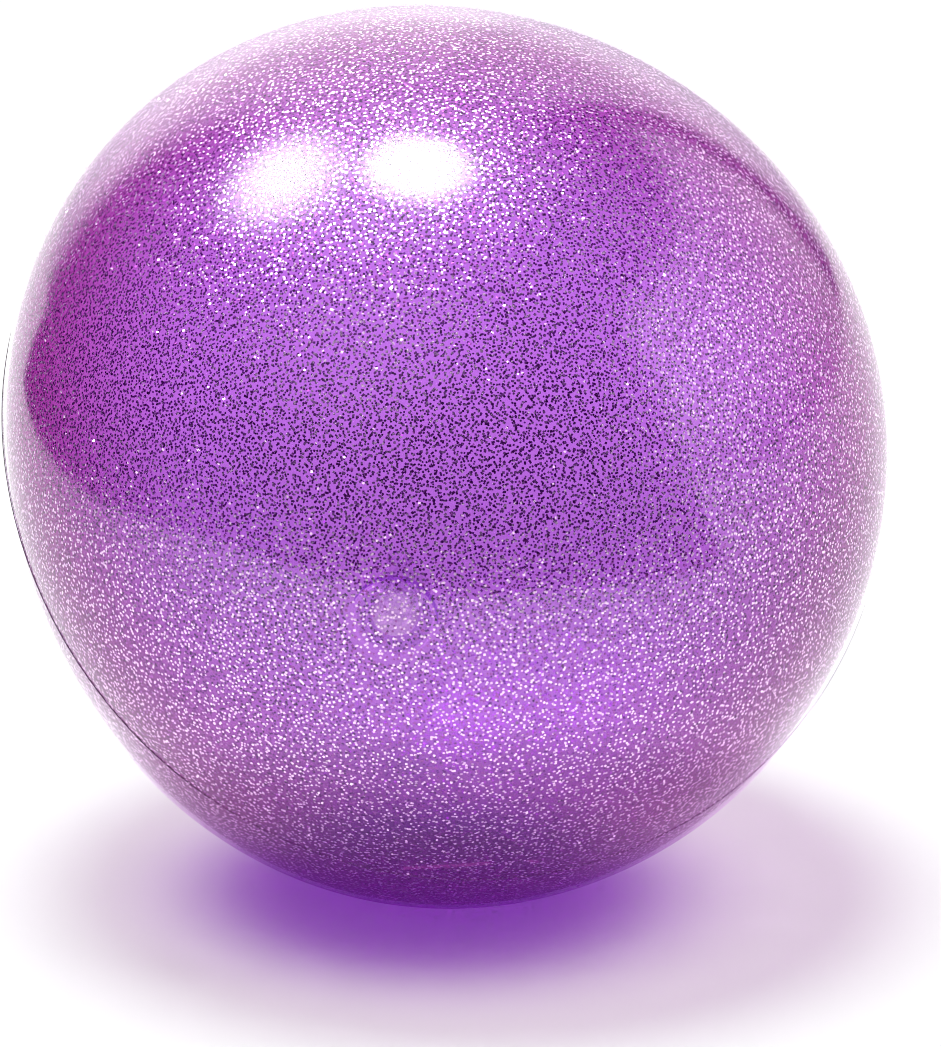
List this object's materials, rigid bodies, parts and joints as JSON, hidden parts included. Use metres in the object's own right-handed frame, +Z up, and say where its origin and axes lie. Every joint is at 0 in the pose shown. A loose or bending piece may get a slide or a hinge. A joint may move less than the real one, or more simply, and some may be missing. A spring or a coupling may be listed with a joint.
{
  "type": "inflatable play ball",
  "caption": "Glossy translucent violet inflatable ball, moulded in one piece with glitter in its skin, a fine parting line, and a sunk valve with a tethered push-in stopper.",
  "frame": {"origin": "centre of the small flat patch that the ball rests on, on the floor under the ball's centre", "axes": "+Z up; the mould axis lies in the YZ plane, with the plain pole facing forward (-Y) and up and the valve pole facing back (+Y) and down by 41 degrees"},
  "size_m": [0.2306, 0.23, 0.2291],
  "materials": {
    "skin": "glossy translucent soft PVC with cast-in glitter flakes",
    "valve_insert": "clear violet-tinted soft PVC, satin",
    "flap_film": "clear violet-tinted soft PVC film, satin",
    "stopper_plug": "clear violet-tinted soft PVC, satin"
  },
  "bodies": {
    "root": {"skin": "skin", "valve_body": "valve_insert", "tether": "valve_insert"},
    "stopper": {"stopper": "stopper_plug"},
    "check_flap": {"check_flap": "flap_film"}
  },
  "joints": [
    {"name": "stopper_pull", "type": "slide", "parent": "root", "child": "stopper", "axis": [0, 0.7547, -0.6561], "range_m": [0, 0.014]},
    {"name": "flap_swing", "type": "hinge", "parent": "root", "child": "check_flap", "pos_m": [0, 0.07308, 0.06148], "axis": [-1, 0, 0], "range_deg": [0, 60]}
  ]
}
